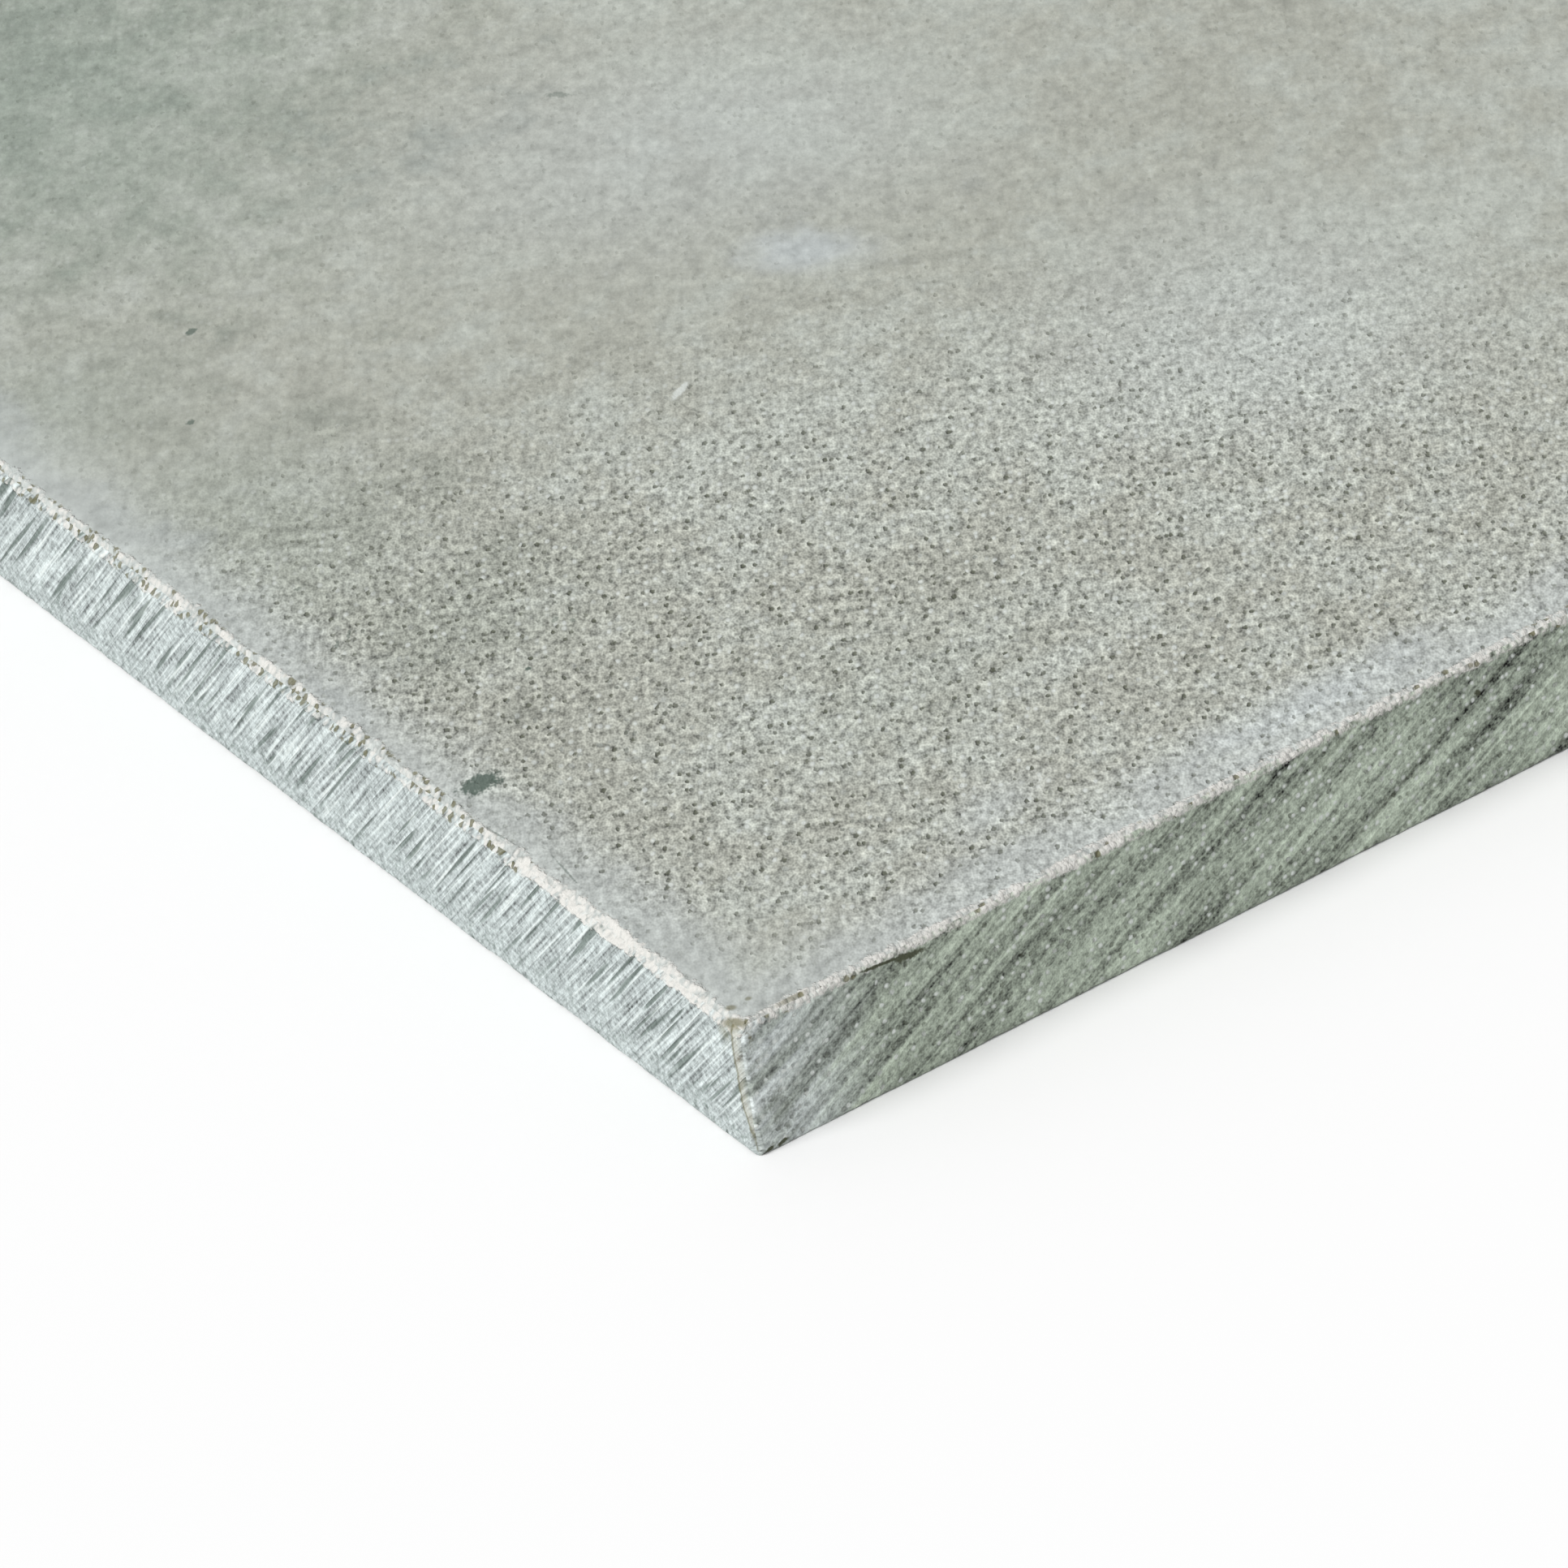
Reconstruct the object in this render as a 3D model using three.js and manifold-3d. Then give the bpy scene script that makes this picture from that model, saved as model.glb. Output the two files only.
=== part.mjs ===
// A fibre cement sheet: one flat slab of pressed, cured board, sawn square on all four sides
// and lying on its back. Lengths are in millimetres and +Z is up. The origin is at the middle
// of the back, X runs along the long sides and Y along the short ends.

import * as THREE from "three";
import { mergeVertices } from "three/addons/utils/BufferGeometryUtils.js";
import Module from "manifold-3d";

// Driving dimensions
const SHEET_LENGTH = 1200;
const SHEET_WIDTH = 800;
const SHEET_THICKNESS = 12;
const END_ARRIS = 0.9; // the crumbled edge that the cross cut leaves between an end and the face
const SIDE_ARRIS = 0.45; // the finer one that the rip cut leaves between a long side and the face
const BACK_ARRIS = 0.25; // the finest one, all round the back
const CORNER_BREAK = 0.5; // how far each upright corner is knocked off along both sides
const CUT_OVERRUN = 5; // how far a cutting solid reaches past the sheet

const CEMENT_COLOUR = 0xaeb1a9;
const CEMENT_ROUGHNESS = 0.9;

const wasm = await Module();
wasm.setup();

function solidFrom(geometry) {
  geometry.deleteAttribute("normal");
  geometry.deleteAttribute("uv");
  const merged = mergeVertices(geometry);
  return new wasm.Manifold(
    new wasm.Mesh({
      numProp: 3,
      vertProperties: merged.getAttribute("position").array,
      triVerts: new Uint32Array(merged.index.array),
    }),
  );
}

function geometryFrom(solid) {
  const mesh = solid.getMesh();
  const geometry = new THREE.BufferGeometry();
  geometry.setAttribute("position", new THREE.BufferAttribute(mesh.vertProperties, 3));
  geometry.setIndex(new THREE.BufferAttribute(mesh.triVerts, 1));
  return geometry;
}

// The plan of the sheet: a rectangle with its four corners knocked off.
function planOutline() {
  const [x, y, cut] = [SHEET_LENGTH / 2, SHEET_WIDTH / 2, CORNER_BREAK];
  const plan = new THREE.Shape();
  plan.moveTo(-x + cut, -y);
  plan.lineTo(x - cut, -y);
  plan.lineTo(x, -y + cut);
  plan.lineTo(x, y - cut);
  plan.lineTo(x - cut, y);
  plan.lineTo(-x + cut, y);
  plan.lineTo(-x, y - cut);
  plan.lineTo(-x, -y + cut);
  plan.closePath();
  return plan;
}

// A section across the sheet, square at the sides, with an arris at the face and at the back.
function crossSection(span, faceArris) {
  const [half, top] = [span / 2, SHEET_THICKNESS];
  const section = new THREE.Shape();
  section.moveTo(-half + BACK_ARRIS, 0);
  section.lineTo(half - BACK_ARRIS, 0);
  section.lineTo(half, BACK_ARRIS);
  section.lineTo(half, top - faceArris);
  section.lineTo(half - faceArris, top);
  section.lineTo(-half + faceArris, top);
  section.lineTo(-half, top - faceArris);
  section.lineTo(-half, BACK_ARRIS);
  section.closePath();
  return section;
}

// A section swept level and centred on the origin. It lies across X and runs along Y.
function sweptAlongY(section, reach) {
  const prism = new THREE.ExtrudeGeometry(section, { depth: reach, bevelEnabled: false });
  prism.translate(0, 0, -reach / 2);
  prism.rotateX(Math.PI / 2);
  return prism;
}

function endToEndPrism() {
  return sweptAlongY(crossSection(SHEET_LENGTH, END_ARRIS), SHEET_WIDTH + 2 * CUT_OVERRUN);
}

function sideToSidePrism() {
  const prism = sweptAlongY(crossSection(SHEET_WIDTH, SIDE_ARRIS), SHEET_LENGTH + 2 * CUT_OVERRUN);
  prism.rotateZ(Math.PI / 2);
  return prism;
}

// The plan raised past the sheet above and below, so that only its upright sides cut.
function planBlock() {
  const block = new THREE.ExtrudeGeometry(planOutline(), {
    depth: SHEET_THICKNESS + 2 * CUT_OVERRUN,
    bevelEnabled: false,
  });
  block.translate(0, 0, -CUT_OVERRUN);
  return block;
}

function buildSheet() {
  const solid = solidFrom(planBlock())
    .intersect(solidFrom(endToEndPrism()))
    .intersect(solidFrom(sideToSidePrism()));
  const cement = new THREE.MeshStandardMaterial({
    color: CEMENT_COLOUR,
    roughness: CEMENT_ROUGHNESS,
    metalness: 0,
  });
  const sheet = new THREE.Mesh(geometryFrom(solid), cement);
  sheet.name = "fibre_cement_sheet";
  return sheet;
}

const panel = new THREE.Group();
panel.name = "fibre_cement_panel";
panel.add(buildSheet());

export default panel;
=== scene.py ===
"""The looks of a fibre cement panel, laid out as a Blender add-on and run as a script.

The panel is one sheet that lies on a pale floor, seen from above at its near corner. Its four
sawn sides carry the marks of the blade, and its arrises are crumbled where the blade passed.
"""

import math

import bmesh
import bpy
from mathutils import Matrix, Vector, noise


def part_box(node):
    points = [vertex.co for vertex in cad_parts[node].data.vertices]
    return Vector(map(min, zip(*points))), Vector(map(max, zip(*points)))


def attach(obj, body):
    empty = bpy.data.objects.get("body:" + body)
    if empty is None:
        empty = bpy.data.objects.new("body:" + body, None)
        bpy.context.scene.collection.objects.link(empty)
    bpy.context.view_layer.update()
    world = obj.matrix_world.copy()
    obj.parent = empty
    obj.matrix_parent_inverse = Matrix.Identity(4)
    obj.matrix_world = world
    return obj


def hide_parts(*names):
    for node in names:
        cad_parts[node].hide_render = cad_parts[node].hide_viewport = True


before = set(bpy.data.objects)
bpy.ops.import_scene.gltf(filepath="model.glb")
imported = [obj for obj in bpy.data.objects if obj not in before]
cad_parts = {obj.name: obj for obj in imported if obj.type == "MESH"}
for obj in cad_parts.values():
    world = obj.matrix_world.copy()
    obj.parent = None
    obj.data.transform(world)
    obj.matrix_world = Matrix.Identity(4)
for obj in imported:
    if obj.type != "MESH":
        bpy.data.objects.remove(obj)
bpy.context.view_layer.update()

bl_info = {
    "name": "Fibre Cement Panel",
    "version": (1, 0, 0),
    "blender": (4, 5, 0),
    "location": "3D View > Sidebar > Cement Panel",
    "description": "Models a sawn fibre cement sheet around its fixed frame and sets its stage",
    "category": "Object",
}

SHEET_NODE = "fibre_cement_sheet"
MM = 0.001
TOUCH = 0.01 * MM  # points closer than this to a face lie on it
PHOTO_WIDTH = 1932

low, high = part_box(SHEET_NODE)
SHEET_SIZE = high - low
SHEET_CENTRE = (high + low) / 2

# The arrises as the solid has them, read where its left end and near side are flat
LEFT_END = [v.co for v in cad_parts[SHEET_NODE].data.vertices if v.co.x < low.x + TOUCH]
NEAR_SIDE = [v.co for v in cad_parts[SHEET_NODE].data.vertices if v.co.y < low.y + TOUCH]
END_ARRIS = high.z - max(co.z for co in LEFT_END)
SIDE_ARRIS = high.z - max(co.z for co in NEAR_SIDE)
BACK_ARRIS = min(co.z for co in LEFT_END) - low.z
CORNER_BREAK = min(co.y for co in LEFT_END) - low.y

# Which way the blade's marks run, as a unit vector in the plane of each cut
END_MARK_SLOPE = math.radians(46)  # from level, rising towards the near corner
SIDE_MARK_SLOPE = math.radians(30)  # from level, rising away from the near corner
END_MARK_STRETCH = 18  # how many times longer than wide the end's marks are
SIDE_MARK_STRETCH = 12  # the same of the side's marks

# The press drew the face's grain out this way, from the near side
GRAIN_DIRECTION = math.radians(56)
GRAIN_STRETCH = 1.5

# How far the fracture's pale crumbs lie beyond the broken arrises
END_DUST = 0.18 * MM
SIDE_DUST = 0.32 * MM
UNBROKEN = -5.0  # the least that the mesh keeps, in millimetres, far outside any fracture

SHARP_ANGLE = math.radians(38)  # mesh edges that turn more than this stay sharp
FLOOR_REACH = 60.0  # metres from the middle of the floor to its sides

FACE, BACK, SAWN_END, SAWN_SIDE = range(4)  # material slots of the sheet


def srgb(red, green, blue):
    """A colour as a screen shows it, from 0 to 255, as the linear values that shaders take."""
    def linear(level):
        share = level / 255
        return share / 12.92 if share <= 0.04045 else ((share + 0.055) / 1.055) ** 2.4
    return (linear(red), linear(green), linear(blue), 1.0)


def length_property(name, description, millimetres):
    return bpy.props.FloatProperty(
        name=name, description=description, default=millimetres * MM, min=0.0, unit="LENGTH", precision=5
    )


def angle_property(name, description, degrees):
    return bpy.props.FloatProperty(
        name=name, description=description, default=math.radians(degrees), unit="ROTATION"
    )


def colour_property(name, description, red, green, blue):
    return bpy.props.FloatVectorProperty(
        name=name, description=description, default=srgb(red, green, blue), size=4, min=0.0, subtype="COLOR"
    )


def amount_property(name, description, amount):
    return bpy.props.FloatProperty(name=name, description=description, default=amount, min=0.0)


class CementSheetShape(bpy.types.PropertyGroup):
    """How deep the blade cut and crumbled the sheet, and how fine its mesh is"""

    end_mark_depth: length_property("End marks", "Depth of the scratches on the sawn ends", 0.07)
    side_mark_depth: length_property("Side marks", "Depth of the bands on the sawn sides", 0.12)
    crumble: length_property("Crumble", "How far single crumbs roughen a broken arris", 0.16)
    fine_along_side: length_property("Fine along side", "Mesh stays fine this far along the side", 76)
    fine_along_end: length_property("Fine along end", "Mesh stays fine this far along the end", 106)
    fine_arris: length_property("Fine arris", "Longest mesh edge on an arris by the near corner", 0.2)
    fine_cut: length_property("Fine cut", "Longest mesh edge on a sawn side by the near corner", 0.45)
    coarse_arris: length_property("Coarse arris", "Longest mesh edge on an arris elsewhere", 2.4)
    coarse_cut: length_property("Coarse cut", "Longest mesh edge on a sawn side elsewhere", 4.0)


class CementSheetFinish(bpy.types.PropertyGroup):
    """The colours and the grain of the sheet's surfaces"""

    face_colour: colour_property("Face", "Smooth face of the sheet", 159, 163, 156)
    bloom_colour: colour_property("Bloom", "Pale lime bloom in clouds and along the arrises", 175, 181, 181)
    shade_colour: colour_property("Shade", "Darker clouds in the face", 138, 147, 138)
    end_colour: colour_property("Sawn end", "Cross cut, light and dusty", 168, 176, 175)
    side_colour: colour_property("Sawn side", "Rip cut, dark and burnished", 147, 156, 143)
    broken_colour: colour_property("Broken arris", "Fresh fracture along the arrises", 200, 199, 194)
    # The pit colour also paints the shadow in the hollow under a flake on the sawn side.
    pit_colour: colour_property("Pit", "Small holes and fibre ends", 72, 76, 60)
    speck_colour: colour_property("Speck", "Light sand grains and dusty ridges", 206, 211, 207)
    stain_colour: colour_property("Stain", "Dark grey green inclusions", 76, 90, 82)
    rust_colour: colour_property("Rust", "Olive brown stains at the near corner", 98, 94, 62)
    tan_colour: colour_property("Tan", "Old fracture on the upright corner", 166, 161, 143)
    grain_size: length_property("Grain", "Size of the sandy grain", 0.36)
    grain_reach: length_property("Grain reach", "The face's grain is strong this far up the end", 68)
    grain_contrast: amount_property("Grain contrast", "Contrast of the face's sandy grain", 0.6)
    blotch_contrast: amount_property("Blotches", "Contrast of the face's broad blotches", 0.1)
    mottle_contrast: amount_property("Mottle", "Contrast of the face's soft mottle", 0.1)
    scratch_spacing: length_property("Scratch spacing", "Between fine scratches on a sawn end", 0.32)
    scratch_length: length_property("Scratch length", "Length of the scratches on a sawn end", 12)
    scratch_contrast: amount_property("Scratches", "Contrast of the scratches on a sawn end", 0.46)
    line_spacing: length_property("Line spacing", "Between fine lines on a sawn side", 0.42)
    band_spacing: length_property("Band spacing", "Between broad bands on a sawn end or side", 1.6)
    band_length: length_property("Band length", "Length of the bands on a sawn side", 20)
    band_contrast: amount_property("Bands", "Contrast of the broad bands on a sawn side", 0.5)
    roughness: amount_property("Roughness", "Roughness of the whole sheet", 0.9)
    shine: amount_property("Shine", "Strength of the sheet's faint highlights", 0.25)


class CementStage(bpy.types.PropertyGroup):
    """The camera, the light and the floor"""

    azimuth: angle_property("Azimuth", "Camera's turn about the vertical", -29.26)
    elevation: angle_property("Elevation", "Camera's height above the horizon", 33.90)
    roll: angle_property("Roll", "Camera's tilt about its own line of sight", -8.83)
    distance: length_property("Distance", "From the camera to the near corner, along its sight", 970.5)
    focal_pixels: amount_property("Focal length", "In pixels of the photograph", 16000)
    corner_across: amount_property("Corner across", "Near bottom corner, in pixels from the left", 934.2)
    corner_down: amount_property("Corner down", "Near bottom corner, in pixels from the top", 1428.3)
    floor_colour: colour_property("Floor", "Plain pale floor", 231, 231, 231)
    sky_strength: amount_property("Sky", "Strength of the soft light from all round", 0.55)
    key_strength: amount_property("Key", "Strength of the soft light from the left", 3.1)
    key_azimuth: angle_property("Key azimuth", "Key light's turn about the vertical", -84)
    key_elevation: angle_property("Key elevation", "Key light's height above the horizon", 44)
    key_softness: angle_property("Key softness", "Angle that the key light fills", 35)


# Shader nodes

class Graph:
    """Adds nodes to a node tree. An input is a socket, which is linked, or a plain value."""

    def __init__(self, tree):
        self.tree = tree

    def add(self, kind, inputs=None, **settings):
        node = self.tree.nodes.new(kind)
        for name, value in settings.items():
            setattr(node, name, value)
        for key, value in (inputs or {}).items():
            self.feed(node.inputs[key], value)
        return node

    def feed(self, socket, value):
        if isinstance(value, bpy.types.NodeSocket):
            self.tree.links.new(value, socket)
        else:
            socket.default_value = value

    def math(self, operation, *values):
        return self.add("ShaderNodeMath", dict(enumerate(values)), operation=operation).outputs[0]

    def vector_math(self, operation, *values):
        node = self.add("ShaderNodeVectorMath", dict(enumerate(values)), operation=operation)
        return node.outputs["Value" if operation == "LENGTH" else "Vector"]

    def scaled(self, vector, factor):
        node = self.add("ShaderNodeVectorMath", {0: vector, "Scale": factor}, operation="SCALE")
        return node.outputs["Vector"]

    def mix(self, factor, start, end, blend="MIX"):
        node = self.add("ShaderNodeMix", {0: factor, 6: start, 7: end}, data_type="RGBA", blend_type=blend)
        return node.outputs[2]

    def mix_values(self, factor, start, end):
        return self.add("ShaderNodeMix", {0: factor, 2: start, 3: end}, data_type="FLOAT").outputs[0]

    def ramp(self, value, start, end, low_value=0.0, high_value=1.0):
        """low_value up to start, high_value from end on, and a smooth step between them."""
        node = self.add(
            "ShaderNodeMapRange",
            {"Value": value, "From Min": start, "From Max": end, "To Min": low_value, "To Max": high_value},
            interpolation_type="SMOOTHSTEP",
        )
        return node.outputs[0]

    def noise(self, flat, scale=1.0, detail=2.0, roughness=0.5):
        """Noise about nought, mostly from -1 to 1, on a flat place."""
        inputs = {"Vector": flat, "Scale": scale, "Detail": detail, "Roughness": roughness}
        level = self.add("ShaderNodeTexNoise", inputs, noise_dimensions="2D").outputs[0]
        return self.math("MULTIPLY", self.math("SUBTRACT", level, 0.5), 4.0)

    def cells(self, flat, scale):
        """How far a flat place is from its cell's middle, and two chances of that cell."""
        inputs = {"Vector": flat, "Scale": scale}
        node = self.add("ShaderNodeTexVoronoi", inputs, voronoi_dimensions="2D")
        picked = self.add("ShaderNodeSeparateColor", {"Color": node.outputs["Color"]}).outputs
        return node.outputs["Distance"], picked[0], picked[1]

    def parts(self, vector):
        return self.add("ShaderNodeSeparateXYZ", {0: vector}).outputs

    def joined(self, *parts):
        return self.add("ShaderNodeCombineXYZ", dict(enumerate(parts))).outputs[0]

    def folded(self, operation, values):
        """The first value joined to each of the others in turn."""
        total = values[0]
        for value in values[1:]:
            total = self.math(operation, total, value)
        return total

    def product(self, *values):
        return self.folded("MULTIPLY", values)

    def weighted(self, *pairs):
        """The sum of values, each times its weight."""
        return self.folded("ADD", [
            value if weight == 1.0 else self.math("MULTIPLY", value, weight) for value, weight in pairs
        ])

    def stretched(self, vector, turn=(0, 0, 0), sizes=(1, 1, 1), centre=(0, 0, 0)):
        """The vector from centre, turned back by turn and counted in sizes."""
        inputs = {"Vector": vector, "Location": centre, "Rotation": turn, "Scale": sizes}
        return self.add("ShaderNodeMapping", inputs, vector_type="TEXTURE").outputs[0]

    def place(self, group, **inputs):
        """A node group, with its inputs given by name and underscores for spaces."""
        node = self.add("ShaderNodeGroup", node_tree=group)
        for name, value in inputs.items():
            self.feed(node.inputs[name.replace("_", " ").capitalize()], value)
        return node.outputs


def new_group(name, inputs, outputs):
    """An empty shader node group with typed, named sockets. Returns its graph, inputs and outputs."""
    tree = bpy.data.node_groups.new(name, "ShaderNodeTree")
    for label, kind in inputs.items():
        tree.interface.new_socket(label, in_out="INPUT", socket_type="NodeSocket" + kind)
    for label, kind in outputs.items():
        tree.interface.new_socket(label, in_out="OUTPUT", socket_type="NodeSocket" + kind)
    graph = Graph(tree)
    return graph, graph.add("NodeGroupInput").outputs, graph.add("NodeGroupOutput").inputs


def make_millimetres_group():
    """Millimetres from the sheet's near bottom corner."""
    graph, _, outputs = new_group("Sheet millimetres", {}, {"Millimetres": "Vector"})
    place = graph.add("ShaderNodeTexCoord").outputs["Object"]
    from_corner = graph.vector_math("SUBTRACT", place, tuple(low))
    graph.feed(outputs["Millimetres"], graph.scaled(from_corner, 1 / MM))
    return graph.tree


def make_grain_group():
    """Sandy grain about nought, a softer mottle, dark pits, light specks and the relief of all."""
    graph, inputs, outputs = new_group(
        "Sandy grain",
        {"Flat": "Vector", "Grain size": "Float", "Pit share": "Float"},
        {"Grain": "Float", "Mottle": "Float", "Pits": "Float", "Specks": "Float", "Relief": "Float"},
    )
    half_fineness = graph.math("DIVIDE", 0.5, inputs["Grain size"])
    grain = graph.noise(inputs["Flat"], half_fineness, detail=2.0, roughness=0.9)
    far, pit_chance, speck_chance = graph.cells(inputs["Flat"], half_fineness)
    ragged = graph.weighted((far, 1.0), (grain, 0.12))
    rare = graph.ramp(pit_chance, graph.math("SUBTRACT", 1.0, inputs["Pit share"]), 1.0)
    pits = graph.product(graph.ramp(ragged, 0.1, 0.36, 1.0, 0.0), rare)
    specks = graph.product(graph.ramp(ragged, 0.08, 0.4, 1.0, 0.0), graph.ramp(speck_chance, 0.6, 0.9))
    graph.feed(outputs["Grain"], grain)
    mottle_fineness = graph.math("DIVIDE", 0.27, inputs["Grain size"])
    graph.feed(outputs["Mottle"], graph.noise(inputs["Flat"], mottle_fineness, detail=1.0))
    graph.feed(outputs["Pits"], pits)
    graph.feed(outputs["Specks"], specks)
    graph.feed(outputs["Relief"], graph.weighted((grain, 0.035), (pits, -0.12), (specks, 0.04)))
    return graph.tree


def make_blotch_group():
    """Soft blotches, and a wobble for the borders of patches."""
    graph, inputs, outputs = new_group(
        "Pressed blotches", {"Flat": "Vector"}, {"Blotches": "Float", "Wobble": "Float"}
    )
    broad = graph.noise(inputs["Flat"], 1 / 34, detail=1.0)
    close = graph.noise(inputs["Flat"], 1 / 7, detail=3.0, roughness=0.65)
    graph.feed(outputs["Blotches"], graph.weighted((broad, 0.6), (close, 1.0)))
    graph.feed(outputs["Wobble"], close)
    return graph.tree


def make_saw_marks_group():
    """Scratches of the blade. Marks counts millimetres across the marks in X and along them in Y."""
    graph, inputs, outputs = new_group(
        "Saw marks",
        {"Marks": "Vector", "Fine spacing": "Float", "Broad spacing": "Float", "Length": "Float"},
        {"Fine": "Float", "Broad": "Float", "Grooves": "Float"},
    )
    along = graph.math("DIVIDE", 1.0, inputs["Length"])

    def lines(spacing, detail, shift):
        sizes = graph.joined(graph.math("DIVIDE", 1.0, spacing), along, 0.0)
        place = graph.vector_math("MULTIPLY_ADD", inputs["Marks"], sizes, (shift, shift, 0.0))
        return graph.noise(place, detail=detail, roughness=0.6)

    graph.feed(outputs["Fine"], lines(inputs["Fine spacing"], 1.5, 0.0))
    graph.feed(outputs["Broad"], lines(inputs["Broad spacing"], 1.0, 31.0))
    graph.feed(outputs["Grooves"], lines(graph.math("MULTIPLY", inputs["Fine spacing"], 1.6), 0.5, 67.0))
    return graph.tree


def make_broken_group():
    """Lays the pale crumbs and dark pits of a broken arris over a colour and a relief. Broken counts
    the millimetres from the fracture's border, more than nought inside it. Crumbling is one where
    pits are many, and nought where the fracture is smooth."""
    graph, inputs, outputs = new_group(
        "Broken arris",
        {"Flat": "Vector", "Colour": "Color", "Relief": "Float", "Broken": "Float", "Crumbling": "Float",
         "Fracture colour": "Color", "Pit colour": "Color"},
        {"Colour": "Color", "Relief": "Float"},
    )
    rough = graph.noise(inputs["Flat"], 1 / 0.6, detail=2.0, roughness=0.8)
    mask = graph.ramp(graph.weighted((inputs["Broken"], 1.0), (rough, 0.2)), -0.14, 0.16)
    far, pit_chance, _ = graph.cells(inputs["Flat"], 1 / 0.55)
    dome = graph.ramp(graph.weighted((far, 1.0), (rough, 0.12)), 0.15, 0.75, 1.0, 0.0)
    rare = graph.weighted((inputs["Crumbling"], -0.3), (0.96, 1.0))
    pits = graph.product(dome, graph.ramp(pit_chance, rare, graph.math("ADD", rare, 0.08)))
    crumbs = graph.product(dome, graph.ramp(pit_chance, rare, graph.math("ADD", rare, 0.08), 1.0, 0.0))
    slow = graph.noise(inputs["Flat"], 1 / 2.4, detail=1.0)
    even = graph.weighted((inputs["Crumbling"], -0.35), (0.4, 1.0))
    cover = graph.weighted((crumbs, 0.6), (rough, 0.4), (slow, 0.4), (even, 1.0))
    pale = graph.mix(graph.ramp(cover, 0.0, 1.0), inputs["Colour"], inputs["Fracture colour"])
    pitted = graph.mix(graph.ramp(pits, 0.1, 0.7, 0.0, 0.75), pale, inputs["Pit colour"])
    graph.feed(outputs["Colour"], graph.mix(mask, inputs["Colour"], pitted))
    relief = graph.weighted((rough, 0.05), (crumbs, 0.09), (pits, -0.16))
    graph.feed(outputs["Relief"], graph.mix_values(mask, inputs["Relief"], relief))
    return graph.tree


def make_patch_group():
    """A soft patch with a wobbly border: one in its middle and nought outside it."""
    graph, inputs, outputs = new_group(
        "Soft patch", {"Across": "Vector", "Wobble": "Float", "Softness": "Float"}, {"Mask": "Float"}
    )
    edge = graph.weighted((graph.vector_math("LENGTH", inputs["Across"]), 1.0), (inputs["Wobble"], 0.3))
    start = graph.math("SUBTRACT", 1.0, inputs["Softness"])
    graph.feed(outputs["Mask"], graph.ramp(edge, start, 1.05, 1.0, 0.0))
    return graph.tree


# Where the finish changes, in millimetres. Each change starts and ends at its two distances.
PALE_MARGIN = (1.0, 9.0)  # the bloom fades, from the face's arrises
SMOOTH_CORNER = (14.0, 24.0)  # the grain grows strong, from the near bottom corner
SMOOTH_MARGIN = (1.0, 6.0)  # the grain grows strong, from the near end
CRUMBLING_END = (26.0, 38.0)  # the end's arris starts to crumble, from the near side
CRUMBLING_SIDE = (1.0, 3.0)  # the side's arris stops crumbling, from the near side
UNMARKED_BACK = (0.6, 4.4)  # the end's scratches grow strong, from the back
DUSTY_SIDE = (4.0, 14.0)  # the side's dust fades, from the near end

# Patches, in millimetres from the near bottom corner. Each has its place, its half lengths, its
# turn in degrees and its strength.
PATCH_DEPTH = 4.0  # how far a patch reaches into the sheet and out of it
THICKNESS = SHEET_SIZE.z / MM


def on_face(x, y, half_x, half_y, turn, strength):
    return (x, y, THICKNESS), (half_x, half_y, PATCH_DEPTH), (0, 0, turn), strength


def on_side(x, z, half_x, half_z, turn, strength):
    return (x, 0, z), (half_x, PATCH_DEPTH, half_z), (0, -turn, 0), strength


def end_groove(y, z, half_length, strength):
    """A deep scratch on the sawn end, along the blade's other marks."""
    return (0, y, z), (PATCH_DEPTH, 0.13, half_length), (90 - math.degrees(END_MARK_SLOPE), 0, 0), strength


BLOOM_PATCHES = (
    on_face(65.0, 86.9, 9, 5, -45, 0.9),
    on_face(65, 108, 34, 24, -45, 0.35),
    on_face(84, 52, 24, 26, 0, 0.3),
    on_face(1, 58, 5, 22, 0, 0.7),
    on_face(2, 103, 5, 14, 0, 0.35),
    on_face(55, 4, 26, 5, 0, 0.8),
    on_face(30, 10, 7, 4, 20, 0.5),
    on_face(27, 3, 14, 5, 0, 0.6),
)
SHADE_PATCHES = (
    on_face(30, 158, 44, 54, 0, 0.95),
    on_face(9, 112, 20, 18, 0, 0.4),
    on_face(12, 84, 17, 27, 0, 0.4),
    on_face(16, 62, 16, 14, 30, 0.3),
    on_face(36, 30, 20, 14, 20, 0.12),
)
STAIN_SPOTS = (
    on_face(3.8, 41.2, 2.2, 1.5, 4, 0.9),
    on_face(22.4, 113.1, 0.7, 0.45, 30, 0.75),
    on_face(15.0, 101.5, 0.55, 0.4, 10, 0.7),
    on_face(15.2, 51.8, 0.35, 0.3, 0, 0.9),
    on_face(20.5, 56.0, 0.7, 0.35, 40, 0.5),
    on_face(21.5, 55.0, 0.35, 0.3, 0, 0.6),
    on_face(8.3, 74.5, 0.4, 0.3, 0, 0.5),
    on_face(7.6, 66.0, 0.8, 0.2, 50, 0.5),
    on_face(6.2, 65.5, 0.6, 0.2, 50, 0.5),
    on_face(64.3, 122.0, 1.3, 0.5, -45, 0.4),
    on_face(2.1, 26.5, 0.12, 2.6, -8, 0.5),
    on_face(1.0, 34.6, 0.12, 2.2, 6, 0.5),
)
PALE_SPOTS = (
    on_face(46.0, 76.5, 1.6, 0.5, 30, 0.7),
    on_face(30.4, 14.3, 0.5, 0.4, 0, 0.7),
)
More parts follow.
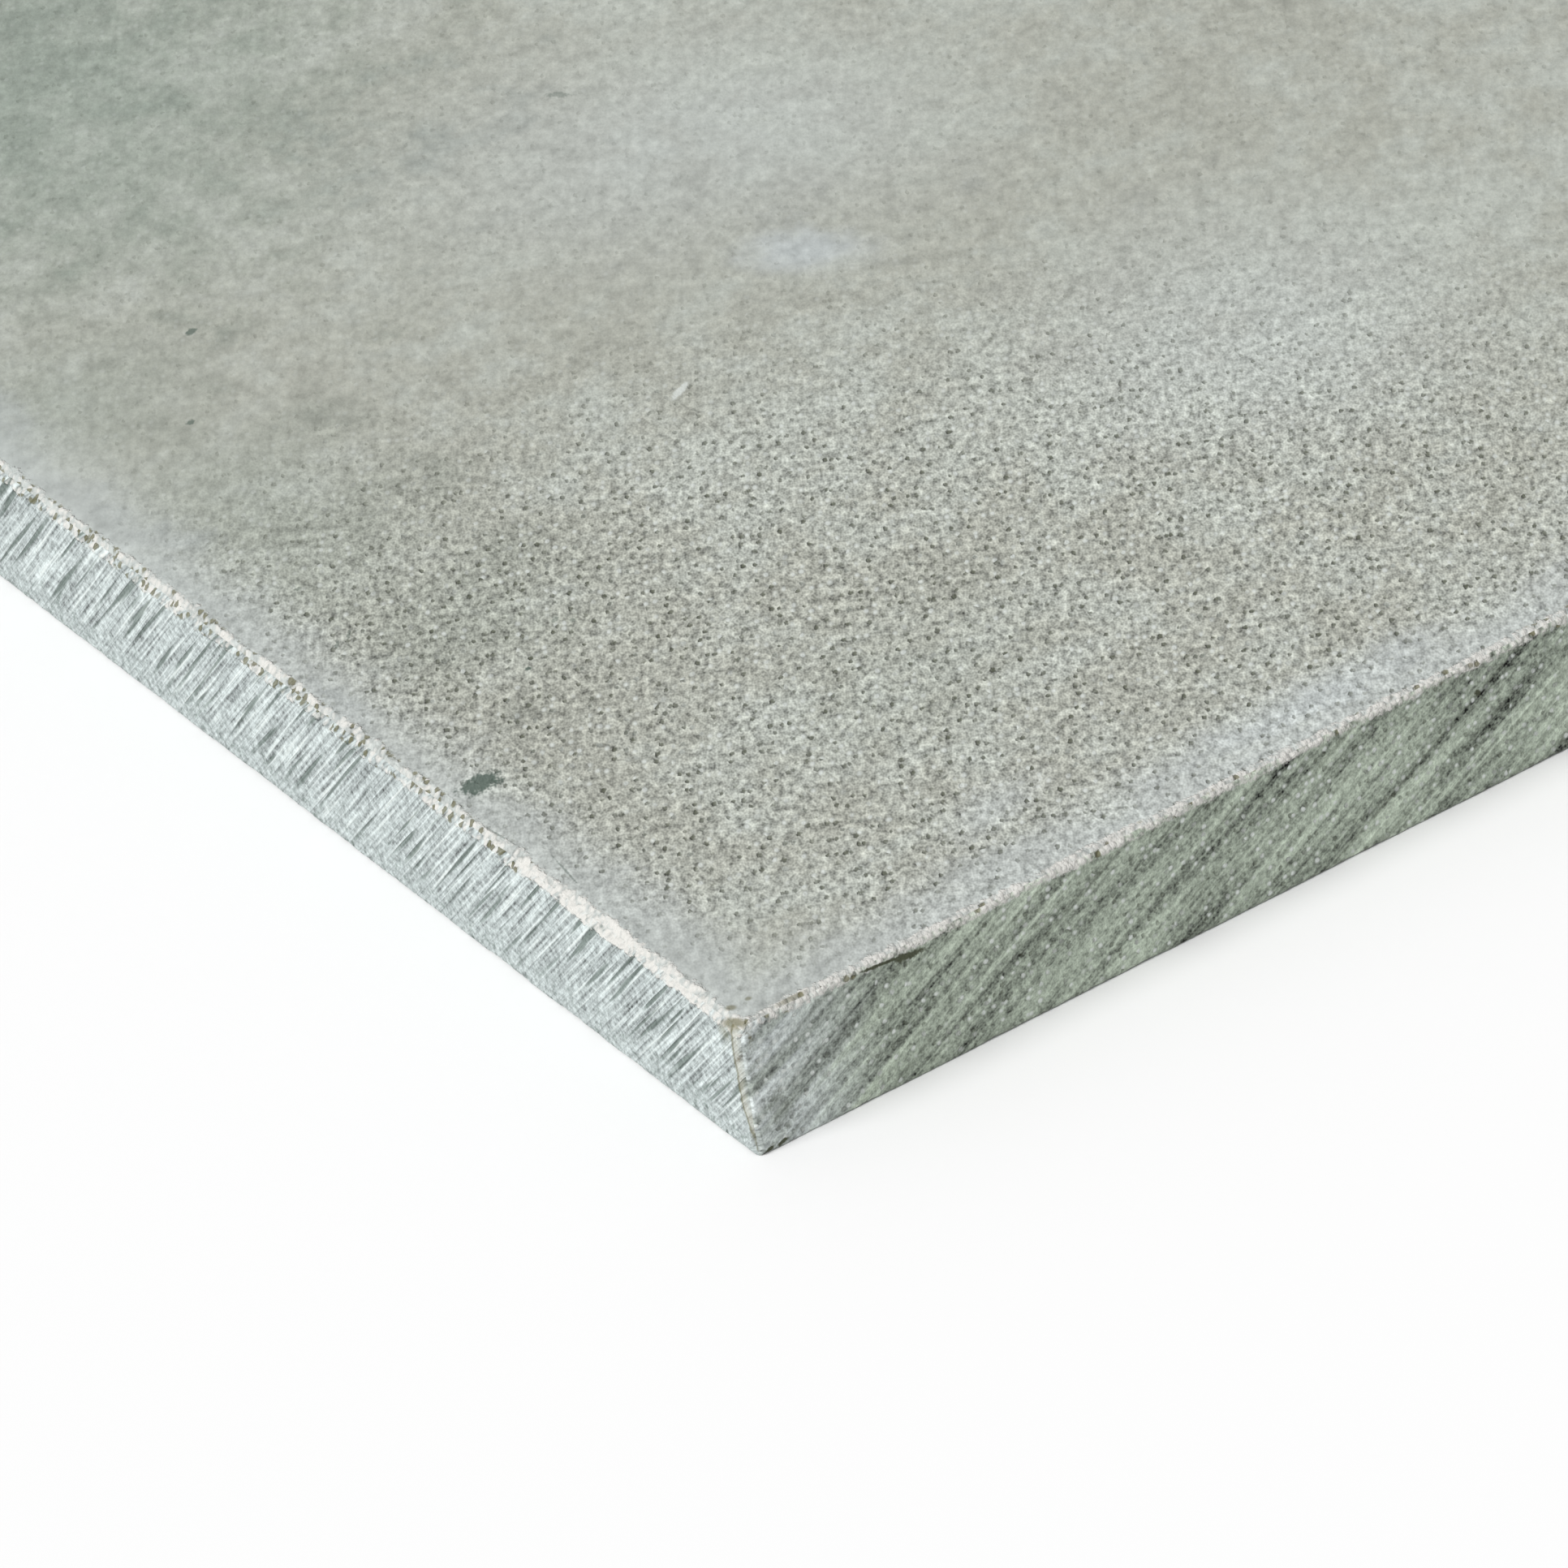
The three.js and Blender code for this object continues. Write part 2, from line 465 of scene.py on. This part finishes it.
RUST_SPOTS = (
    on_face(0.5, 1.4, 2.0, 0.45, -72, 0.75),
    on_face(1.2, 2.65, 0.6, 0.45, -45, 0.65),
    on_face(2.8, 2.7, 0.4, 0.35, 0, 0.6),
    on_face(5.2, 0.5, 1.7, 0.25, 0, 0.55),
)
END_GROOVES = (
    end_groove(8.7, 8.9, 2.9, 0.85),
    end_groove(5.1, 4.3, 2.3, 0.6),
    end_groove(21.6, 8.6, 3.2, 0.7),
    end_groove(34.7, 7.6, 3.8, 0.7),
    end_groove(38.3, 7.6, 4.0, 0.7),
    end_groove(47.8, 6.4, 5.3, 0.8),
)
# Dark marks on the sawn side, laid in the pit colour. The first two are painted shadow: the dark hollow
# under a flake just below the side's arris, which the mesh does not cut in.
SIDE_MARKS_AND_FLAKE_SHADOW = (
    on_side(13.4, 11.3, 3.6, 0.2, -7, 1.0),
    on_side(15.4, 10.95, 1.9, 0.42, -7, 1.0),
    on_side(1.15, 0.3, 0.6, 0.28, 20, 1.0),
    on_side(2.3, 0.4, 0.7, 0.22, 20, 1.0),
    on_side(68.4, 9.0, 0.4, 0.35, 0, 1.0),
    on_side(2.6, 3.2, 1.3, 2.6, 10, 0.3),
)


def add_patches(graph, groups, place, wobble, softness, patches):
    """The masks of all the patches, each times its strength, as one mask."""
    masks = []
    for centre, sizes, turns, strength in patches:
        across = graph.stretched(place, [math.radians(turn) for turn in turns], sizes, centre)
        mask = graph.place(groups["patch"], across=across, wobble=wobble, softness=softness)["Mask"]
        masks.append(graph.math("MULTIPLY", mask, strength))
    return graph.folded("MAXIMUM", masks)


def new_material(name, finish):
    """A matt material. Returns it with its graph and its shader."""
    material = bpy.data.materials.new(name)
    material.use_nodes = True
    graph = Graph(material.node_tree)
    shader = material.node_tree.nodes["Principled BSDF"]
    shader.inputs["Roughness"].default_value = finish.roughness
    shader.inputs["Specular IOR Level"].default_value = finish.shine
    return material, graph, shader


def lighten(graph, colour, amount):
    """The colour times one plus the amount."""
    return graph.mix(1.0, colour, graph.math("ADD", amount, 1.0), blend="MULTIPLY")


def lay_broken_arris(graph, groups, finish, place, flat, wobble, colour, relief):
    """The colour and the relief with the fracture of the arrises and the corner's stains on them."""
    broken = graph.add("ShaderNodeAttribute", attribute_name="broken").outputs["Fac"]
    from_side = graph.weighted((graph.parts(place)[1], 1.0), (wobble, 6.0))
    along_side = graph.ramp(graph.parts(place)[1], *CRUMBLING_SIDE, 0.15, 0.0)
    laid = graph.place(
        groups["broken"], flat=flat, colour=colour, relief=relief, broken=broken,
        crumbling=graph.math("MAXIMUM", graph.ramp(from_side, *CRUMBLING_END), along_side),
        fracture_colour=finish.broken_colour[:], pit_colour=finish.rust_colour[:],
    )
    rust = add_patches(graph, groups, place, wobble, 0.6, RUST_SPOTS)
    return graph.mix(rust, laid["Colour"], finish.rust_colour[:]), laid["Relief"]


def feed_shader(graph, shader, colour, relief):
    """Relief is in millimetres."""
    graph.feed(shader.inputs["Base Color"], colour)
    bump = graph.add("ShaderNodeBump", {"Strength": 1.0, "Distance": MM, "Height": relief})
    graph.feed(shader.inputs["Normal"], bump.outputs[0])


def edge_bloom(graph, place, wobble):
    """A paler margin along the four arrises of the face."""
    across = graph.parts(place)
    from_ends = graph.math("MINIMUM", across[0], graph.math("SUBTRACT", SHEET_SIZE.x / MM, across[0]))
    from_sides = graph.math("MINIMUM", across[1], graph.math("SUBTRACT", SHEET_SIZE.y / MM, across[1]))
    nearest = graph.math("MINIMUM", from_ends, from_sides)
    return graph.ramp(graph.weighted((nearest, 1.0), (wobble, 2.5)), *PALE_MARGIN, 0.6, 0.0)


def grain_strength(graph, finish, place):
    """How strongly the face's grain shows: less by the near corner and the end, and far away."""
    reach = finish.grain_reach / MM
    out = graph.vector_math("LENGTH", graph.stretched(place, sizes=(1.3 * reach, reach, reach)))
    far = graph.ramp(out, 0.95, 1.5, 1.0, 0.2)
    near = graph.ramp(graph.vector_math("LENGTH", place), *SMOOTH_CORNER, 0.5, 1.0)
    by_the_end = graph.ramp(graph.parts(place)[0], *SMOOTH_MARGIN, 0.65, 1.0)
    return graph.product(far, near, by_the_end)


def make_face_material(finish, groups):
    """The smooth face: pressed and sandy, with pale clouds, a few stains and pale margins."""
    material, graph, shader = new_material("cement_face", finish)
    place = graph.place(groups["millimetres"])["Millimetres"]
    drawn = graph.stretched(place, (0, 0, GRAIN_DIRECTION), (GRAIN_STRETCH, 1, 1))
    grain = graph.place(groups["grain"], flat=drawn, grain_size=finish.grain_size / MM, pit_share=0.5)
    blotch = graph.place(groups["blotch"], flat=place)
    bloom = add_patches(graph, groups, place, blotch["Wobble"], 0.95, BLOOM_PATCHES)
    bloom = graph.math("MAXIMUM", bloom, edge_bloom(graph, place, blotch["Wobble"]))
    shade = add_patches(graph, groups, place, blotch["Wobble"], 1.0, SHADE_PATCHES)
    dusted = graph.ramp(bloom, 0.1, 0.6, 1.0, 0.7)
    strong = graph.product(grain_strength(graph, finish, place), dusted)
    warm = graph.ramp(blotch["Blotches"], -0.8, 1.0, 0.22, 0.0)
    colour = graph.mix(warm, finish.face_colour[:], finish.tan_colour[:])
    colour = graph.mix(shade, colour, finish.shade_colour[:])
    colour = graph.mix(bloom, colour, finish.bloom_colour[:])
    clouds = graph.weighted(
        (blotch["Blotches"], finish.blotch_contrast), (grain["Mottle"], finish.mottle_contrast)
    )
    colour = lighten(graph, colour, clouds)
    colour = lighten(graph, colour, graph.product(grain["Grain"], strong, finish.grain_contrast))
    colour = graph.mix(graph.product(grain["Specks"], strong, 0.7), colour, finish.speck_colour[:])
    colour = graph.mix(graph.product(grain["Pits"], strong, 0.8), colour, finish.pit_colour[:])
    pale = add_patches(graph, groups, place, grain["Grain"], 0.6, PALE_SPOTS)
    colour = graph.mix(pale, colour, finish.speck_colour[:])
    stains = add_patches(graph, groups, place, grain["Grain"], 0.5, STAIN_SPOTS)
    colour = graph.mix(stains, colour, finish.stain_colour[:])
    relief = graph.product(grain["Relief"], strong)
    colour, relief = lay_broken_arris(
        graph, groups, finish, place, place, blotch["Wobble"], colour, relief
    )
    feed_shader(graph, shader, colour, relief)
    return material


def make_back_material(finish, groups):
    """The back: a plain, slightly darker and coarser face."""
    material, graph, shader = new_material("cement_back", finish)
    place = graph.place(groups["millimetres"])["Millimetres"]
    grain = graph.place(groups["grain"], flat=place, grain_size=finish.grain_size / MM, pit_share=0.5)
    blotch = graph.place(groups["blotch"], flat=place)
    tone = graph.weighted((blotch["Blotches"], 0.09), (grain["Grain"], 0.5))
    colour = lighten(graph, finish.shade_colour[:], tone)
    colour = graph.mix(graph.product(grain["Pits"], 0.8), colour, finish.pit_colour[:])
    feed_shader(graph, shader, colour, grain["Relief"])
    return material


def corner_seam(graph, finish, across, rough, colour):
    """An old fracture beside the upright near corner, with a thin brown line down its border."""
    border = graph.weighted((graph.ramp(across[2], 0.0, 5.0, 0.1, 1.25), 1.0), (rough, 0.2))
    inside = graph.math("SUBTRACT", border, across[1])
    strip = graph.product(graph.ramp(inside, -0.1, 0.2), graph.ramp(inside, 0.5, 1.3, 1.0, 0.0), 0.45)
    colour = graph.mix(strip, colour, finish.tan_colour[:])
    line = graph.ramp(graph.math("ABSOLUTE", inside), 0.03, 0.24, 0.65, 0.0)
    return graph.mix(line, colour, finish.rust_colour[:])


def make_end_cut_material(finish, groups):
    """The cross cut: pale, with fine steep scratches that fade towards the back."""
    material, graph, shader = new_material("cement_sawn_end", finish)
    place = graph.place(groups["millimetres"])["Millimetres"]
    across = graph.parts(place)
    flat = graph.joined(across[1], across[2], 0.0)
    marks_place = graph.stretched(flat, (0, 0, math.pi / 2 - END_MARK_SLOPE))
    marks = graph.place(
        groups["saw"], marks=marks_place, fine_spacing=finish.scratch_spacing / MM,
        broad_spacing=finish.band_spacing / MM, length=finish.scratch_length / MM,
    )
    grain = graph.place(groups["grain"], flat=flat, grain_size=finish.grain_size / MM, pit_share=0.3)
    rough = graph.noise(flat, 1 / 2.2, detail=2.0)
    kept = graph.ramp(graph.weighted((across[2], 1.0), (rough, 1.5)), *UNMARKED_BACK, 0.15, 1.0)
    tone = graph.weighted((marks["Fine"], finish.scratch_contrast), (marks["Broad"], 0.08))
    tone = graph.product(tone, kept)
    colour = lighten(graph, finish.end_colour[:], graph.weighted((tone, 1.0), (grain["Grain"], 0.42)))
    ridges = graph.product(graph.ramp(marks["Fine"], 0.35, 1.1), kept, 0.5)
    colour = graph.mix(ridges, colour, finish.speck_colour[:])
    grooves = graph.product(graph.ramp(marks["Grooves"], 0.4, 1.0), kept, 0.7)
    grooves = graph.math("MAXIMUM", grooves, add_patches(graph, groups, place, rough, 0.8, END_GROOVES))
    colour = graph.mix(grooves, colour, finish.stain_colour[:])
    mottle = graph.ramp(graph.noise(flat, 1 / 0.8, detail=2.0, roughness=0.7), 0.0, 1.1, 0.0, 0.7)
    mottle = graph.product(mottle, graph.math("SUBTRACT", 1.0, kept))
    colour = graph.mix(mottle, colour, finish.stain_colour[:])
    relief = graph.weighted((marks["Fine"], 0.05), (grooves, -0.1), (grain["Grain"], 0.01))
    colour, relief = lay_broken_arris(graph, groups, finish, place, flat, rough, colour, relief)
    feed_shader(graph, shader, corner_seam(graph, finish, across, rough, colour), relief)
    return material


def make_side_cut_material(finish, groups):
    """The rip cut: dark, with broad slanting bands under a fine speckle."""
    material, graph, shader = new_material("cement_sawn_side", finish)
    place = graph.place(groups["millimetres"])["Millimetres"]
    across = graph.parts(place)
    flat = graph.joined(across[0], across[2], 0.0)
    turned = graph.parts(graph.stretched(flat, (0, 0, SIDE_MARK_SLOPE)))
    marks_place = graph.joined(turned[1], turned[0], 0.0)
    marks = graph.place(
        groups["saw"], marks=marks_place, fine_spacing=finish.line_spacing / MM,
        broad_spacing=finish.band_spacing / MM, length=finish.band_length / MM,
    )
    grain = graph.place(groups["grain"], flat=flat, grain_size=finish.grain_size / MM, pit_share=0.4)
    dusty = graph.ramp(graph.weighted((across[0], 1.0), (marks["Broad"], 3.0)), *DUSTY_SIDE, 0.9, 0.0)
    calm = graph.ramp(dusty, 0.0, 0.9, 1.0, 0.75)
    dust = graph.product(dusty, graph.ramp(marks["Broad"], -0.6, 0.5, 0.45, 1.0))
    colour = graph.mix(dust, finish.side_colour[:], finish.bloom_colour[:])
    tone = graph.weighted(
        (marks["Fine"], 0.3), (marks["Broad"], finish.band_contrast), (grain["Grain"], 0.55)
    )
    colour = lighten(graph, colour, graph.product(tone, calm))
    grooves = graph.product(graph.ramp(marks["Grooves"], 0.4, 1.2), 0.22)
    colour = graph.mix(grooves, colour, finish.pit_colour[:])
    colour = graph.mix(graph.product(grain["Specks"], 0.95), colour, finish.speck_colour[:])
    colour = graph.mix(graph.product(grain["Pits"], calm, 0.45), colour, finish.pit_colour[:])
    relief = graph.weighted((marks["Fine"], 0.03), (marks["Broad"], 0.05), (grain["Relief"], 1.0))
    colour, relief = lay_broken_arris(graph, groups, finish, place, flat, grain["Grain"], colour, relief)
    # The side's dark marks, with the painted shadow of the flake's hollow under the arris.
    marks_and_flake_shadow = add_patches(graph, groups, place, grain["Grain"], 0.5, SIDE_MARKS_AND_FLAKE_SHADOW)
    feed_shader(graph, shader, graph.mix(marks_and_flake_shadow, colour, finish.pit_colour[:]), relief)
    return material


# The sheet's mesh

def inward(point):
    """How far a point lies inside the ends, the sides, the face and the back."""
    return (
        min(point.x - low.x, high.x - point.x),
        min(point.y - low.y, high.y - point.y),
        high.z - point.z,
        point.z - low.z,
    )


def blend_between(start, end, share):
    share = min(max(share, 0.0), 1.0)
    return start + (end - start) * share * share * (3 - 2 * share)


def edge_goal(point, shape):
    """The longest mesh edge allowed at a point: fine by the near corner and on arrises."""
    ends, sides, under_face, above_back = inward(point)
    away = math.hypot(
        (point.x - low.x) / shape.fine_along_side, (point.y - low.y) / shape.fine_along_end
    ) - 1
    arris = blend_between(shape.fine_arris, shape.coarse_arris, away * 2)
    cut = blend_between(shape.fine_cut, shape.coarse_cut, away * 2)
    if above_back < TOUCH:
        return cut + min(ends, sides)
    if under_face < TOUCH:
        return arris + 0.3 * min(ends, sides)
    return min(cut, arris + 0.3 * min(under_face, max(ends, sides)))


def longest_edge(face):
    return max(face.edges, key=bmesh.types.BMEdge.calc_length)


def fine_enough(face, shape):
    edge = longest_edge(face)
    start, end = edge.verts
    return edge.calc_length() <= edge_goal((start.co + end.co) / 2, shape)


def edges_to_halve(coarse):
    """The edges that are the longest of both their faces, on the way from each coarse face to
    longer edges beside it. Halving only those keeps every triangle well shaped."""
    halved, seen, waiting = set(), set(coarse), list(coarse)
    while waiting:
        edge = longest_edge(waiting.pop())
        beside = [face for face in edge.link_faces if longest_edge(face) is not edge]
        if not beside:
            halved.add(edge)
        for face in beside:
            if face not in seen:
                seen.add(face)
                waiting.append(face)
    return halved


def refine(bm, shape):
    """Halves edges until each is as short as its place asks. A face that is fine enough is
    marked as settled, and isn't measured again."""
    settled = bm.faces.layers.int.new("settled")
    while True:
        coarse = []
        for face in bm.faces:
            if not face[settled]:
                face[settled] = fine_enough(face, shape)
                if not face[settled]:
                    coarse.append(face)
        if not coarse:
            break
        halved = edges_to_halve(coarse)
        for edge in halved:
            for face in edge.link_faces:
                face[settled] = False
        bmesh.ops.subdivide_edges(bm, edges=list(halved), cuts=1)
        fans = [face for face in bm.faces if len(face.verts) > 3]
        bmesh.ops.triangulate(bm, faces=fans, quad_method="BEAUTY", ngon_method="BEAUTY")
    bm.faces.layers.int.remove(settled)


def wavy(place, size, seed):
    """Noise about nought at a place in metres, with features of that size."""
    return noise.noise(place / size + Vector((seed, 0.37 * seed, 0.71 * seed)))


def end_mark(place):
    """The blade's marks on the ends, from nought at the top of a ridge to one in a groove."""
    across = place.y * math.sin(END_MARK_SLOPE) + place.z * math.cos(END_MARK_SLOPE)
    along = place.z * math.sin(END_MARK_SLOPE) - place.y * math.cos(END_MARK_SLOPE)
    spot = Vector((across, along / END_MARK_STRETCH, place.x))
    return 0.5 + 0.3 * wavy(spot, 1.6 * MM, 3) + 0.3 * wavy(spot, 0.7 * MM, 5)


def side_mark(place):
    """The blade's bands on the sides, from nought at the top of a ridge to one in a hollow."""
    across = place.z * math.cos(SIDE_MARK_SLOPE) - place.x * math.sin(SIDE_MARK_SLOPE)
    along = place.x * math.cos(SIDE_MARK_SLOPE) + place.z * math.sin(SIDE_MARK_SLOPE)
    spot = Vector((across, along / SIDE_MARK_STRETCH, place.y))
    return 0.5 + 0.4 * wavy(spot, 1.9 * MM, 7) + 0.15 * wavy(spot, 0.8 * MM, 11)


def wandering(size, place, seed):
    """A break's size where it wanders along an arris."""
    slow = 0.45 * wavy(place, 5 * MM, seed)
    quick = 0.3 * wavy(place, 1.6 * MM, seed + 1)
    return size * (1 + slow + quick)


def cut_back(first, second, size):
    """Two inward distances after the arris between them is broken off, and how deep inside the
    break the point was."""
    short = size - (first + second)
    if short <= 0:
        return first, second, short
    return first + short / 2, second + short / 2, short


def crumbled(place, shape):
    """Where a point of the plain slab ends up, and how far inside a break it lies."""
    ends, sides, under_face, above_back = inward(place)
    if ends < TOUCH:
        ends += shape.end_mark_depth * max(0.0, end_mark(place))
    if sides < TOUCH:
        sides += shape.side_mark_depth * max(0.0, side_mark(place))
    crumb = shape.crumble * (wavy(place, 0.5 * MM, 13) + 0.6 * wavy(place, 0.25 * MM, 17))
    end_size = wandering(END_ARRIS, place, 19) + crumb
    side_size = wandering(SIDE_ARRIS, place, 23) + crumb * 0.6
    corner_size = wandering(CORNER_BREAK, place, 29) + crumb * 0.6
    back_size = wandering(BACK_ARRIS, place, 31) + crumb * 0.4
    ends, under_face, end_depth = cut_back(ends, under_face, end_size)
    sides, under_face, side_depth = cut_back(sides, under_face, side_size)
    ends, sides, _ = cut_back(ends, sides, corner_size)
    ends, above_back, _ = cut_back(ends, above_back, back_size)
    sides, above_back, _ = cut_back(sides, above_back, back_size)
    moved = Vector((
        low.x + ends if place.x < SHEET_CENTRE.x else high.x - ends,
        low.y + sides if place.y < SHEET_CENTRE.y else high.y - sides,
        low.z + above_back if place.z < SHEET_CENTRE.z else high.z - under_face,
    ))
    return moved, max(end_depth + END_DUST, side_depth + SIDE_DUST)


def crumble(bm, shape):
    """Cuts the marks and breaks the arrises, and keeps how broken each point is, in millimetres."""
    broken = bm.verts.layers.float.new("broken")
    for vertex in bm.verts:
        vertex.co, depth = crumbled(vertex.co, shape)
        vertex[broken] = max(depth / MM, UNBROKEN)


def surface_of(face):
    """The material slot of a face of the plain slab."""
    normal = face.normal
    if abs(normal.z) > 0.5:
        return FACE if normal.z > 0 else BACK
    return SAWN_END if abs(normal.x) > 0.5 else SAWN_SIDE


def slice_evenly(bm, axis, cell):
    """Cuts the slab across an axis into even slices, each about as long as the cell."""
    slices = round(SHEET_SIZE[axis] / cell)
    across = Vector(1.0 if index == axis else 0.0 for index in range(3))
    for cut in range(1, slices):
        place = low + across * SHEET_SIZE[axis] * cut / slices
        geometry = [*bm.verts, *bm.edges, *bm.faces]
        bmesh.ops.bisect_plane(bm, geom=geometry, plane_co=place, plane_no=across)


def make_sheet_mesh(shape):
    bm = bmesh.new()
    bmesh.ops.create_cube(bm, size=1.0)
    bmesh.ops.scale(bm, vec=SHEET_SIZE, verts=bm.verts)
    bmesh.ops.translate(bm, vec=SHEET_CENTRE, verts=bm.verts)
    bm.normal_update()
    for face in bm.faces:
        face.material_index = surface_of(face)
    for axis in (0, 1):
        slice_evenly(bm, axis, 2 * SHEET_SIZE.z)
    bmesh.ops.triangulate(bm, faces=bm.faces, quad_method="BEAUTY", ngon_method="BEAUTY")
    refine(bm, shape)
    crumble(bm, shape)
    for face in bm.faces:
        face.smooth = True
    mesh = bpy.data.meshes.new("cement_sheet")
    bm.to_mesh(mesh)
    bm.free()
    mesh.set_sharp_from_angle(angle=SHARP_ANGLE)
    return mesh


class CEMENT_OT_make_sheet(bpy.types.Operator):
    """Models the sawn sheet, finishes it and puts it in the place of the plain solid"""

    bl_idname = "cement.make_sheet"
    bl_label = "Make Sheet"

    def execute(self, context):
        finish = context.scene.cement_finish
        groups = {
            "millimetres": make_millimetres_group(),
            "grain": make_grain_group(),
            "blotch": make_blotch_group(),
            "saw": make_saw_marks_group(),
            "broken": make_broken_group(),
            "patch": make_patch_group(),
        }
        mesh = make_sheet_mesh(context.scene.cement_shape)
        for make in (make_face_material, make_back_material, make_end_cut_material, make_side_cut_material):
            mesh.materials.append(make(finish, groups))
        sheet = bpy.data.objects.new("cement_sheet", mesh)
        context.scene.collection.objects.link(sheet)
        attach(sheet, "root")
        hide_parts(SHEET_NODE)
        return {"FINISHED"}


# The stage

def line_of_sight(azimuth, elevation):
    """From the object back to whoever looks at it."""
    return Vector((
        math.sin(azimuth) * math.cos(elevation),
        -math.cos(azimuth) * math.cos(elevation),
        math.sin(elevation),
    ))


def make_camera(stage):
    """A camera that shows the near bottom corner where the photograph has it."""
    back = line_of_sight(stage.azimuth, stage.elevation)
    level = Vector((0, 0, 1)).cross(back).normalized()
    tilted = Matrix.Rotation(stage.roll, 3, back)
    right = tilted @ level
    up = back.cross(right)
    per_pixel = stage.distance / stage.focal_pixels
    across = (stage.corner_across - PHOTO_WIDTH / 2) * per_pixel
    rise = (PHOTO_WIDTH / 2 - stage.corner_down) * per_pixel
    data = bpy.data.cameras.new("camera")
    data.sensor_width = 36.0
    data.lens = data.sensor_width * stage.focal_pixels / PHOTO_WIDTH
    data.clip_start = stage.distance / 20
    data.clip_end = stage.distance * 200
    camera = bpy.data.objects.new("camera", data)
    place = low - right * across - up * rise + back * stage.distance
    camera.matrix_world = Matrix.Translation(place) @ Matrix((right, up, back)).transposed().to_4x4()
    bpy.context.scene.collection.objects.link(camera)
    bpy.context.scene.camera = camera


def make_floor(stage):
    bm = bmesh.new()
    bmesh.ops.create_grid(bm, x_segments=1, y_segments=1, size=FLOOR_REACH)
    bmesh.ops.translate(bm, vec=(0, 0, low.z), verts=bm.verts)
    mesh = bpy.data.meshes.new("floor")
    bm.to_mesh(mesh)
    bm.free()
    material = bpy.data.materials.new("floor")
    material.use_nodes = True
    shader = material.node_tree.nodes["Principled BSDF"]
    shader.inputs["Base Color"].default_value = stage.floor_colour
    shader.inputs["Roughness"].default_value = 1.0
    shader.inputs["Specular IOR Level"].default_value = 0.0
    mesh.materials.append(material)
    floor = bpy.data.objects.new("floor", mesh)
    bpy.context.scene.collection.objects.link(floor)


def make_key_light(stage):
    data = bpy.data.lights.new("key", "SUN")
    data.energy = stage.key_strength
    data.angle = stage.key_softness
    light = bpy.data.objects.new("key", data)
    towards = line_of_sight(stage.key_azimuth, stage.key_elevation)
    light.rotation_euler = towards.to_track_quat("Z", "Y").to_euler()
    bpy.context.scene.collection.objects.link(light)


def make_sky(stage):
    """Even light from all round, in front of a backdrop as pale as the floor."""
    world = bpy.data.worlds.new("sky")
    world.use_nodes = True
    graph = Graph(world.node_tree)
    background = world.node_tree.nodes["Background"]
    seen = graph.add("ShaderNodeLightPath").outputs["Is Camera Ray"]
    graph.feed(background.inputs["Strength"], graph.mix_values(seen, stage.sky_strength, 1.0))
    background.inputs["Color"].default_value = (1.0, 1.0, 1.0, 1.0)
    bpy.context.scene.world = world


class CEMENT_OT_set_stage(bpy.types.Operator):
    """Sets the camera, the floor, the light and the backdrop"""

    bl_idname = "cement.set_stage"
    bl_label = "Set Stage"

    def execute(self, context):
        stage = context.scene.cement_stage
        make_camera(stage)
        make_floor(stage)
        make_key_light(stage)
        make_sky(stage)
        context.scene.view_settings.view_transform = "Standard"
        return {"FINISHED"}


class CEMENT_PT_panel(bpy.types.Panel):
    """Makes the sheet and its stage"""

    bl_label = "Cement Panel"
    bl_space_type = "VIEW_3D"
    bl_region_type = "UI"
    bl_category = "Cement Panel"

    def draw(self, context):
        layout = self.layout
        layout.operator(CEMENT_OT_make_sheet.bl_idname)
        layout.operator(CEMENT_OT_set_stage.bl_idname)
        for name in SETTINGS:
            box = layout.box()
            settings = getattr(context.scene, name)
            for key in settings.bl_rna.properties.keys():
                if key not in ("rna_type", "name"):
                    box.prop(settings, key)


SETTINGS = {
    "cement_shape": CementSheetShape,
    "cement_finish": CementSheetFinish,
    "cement_stage": CementStage,
}
CLASSES = (*SETTINGS.values(), CEMENT_OT_make_sheet, CEMENT_OT_set_stage, CEMENT_PT_panel)


def register():
    for cls in CLASSES:
        bpy.utils.register_class(cls)
    for name, group in SETTINGS.items():
        setattr(bpy.types.Scene, name, bpy.props.PointerProperty(type=group))


def unregister():
    for name in SETTINGS:
        delattr(bpy.types.Scene, name)
    for cls in reversed(CLASSES):
        bpy.utils.unregister_class(cls)


def main():
    register()
    bpy.ops.cement.set_stage()
    bpy.ops.cement.make_sheet()


if __name__ == "__main__":
    main()
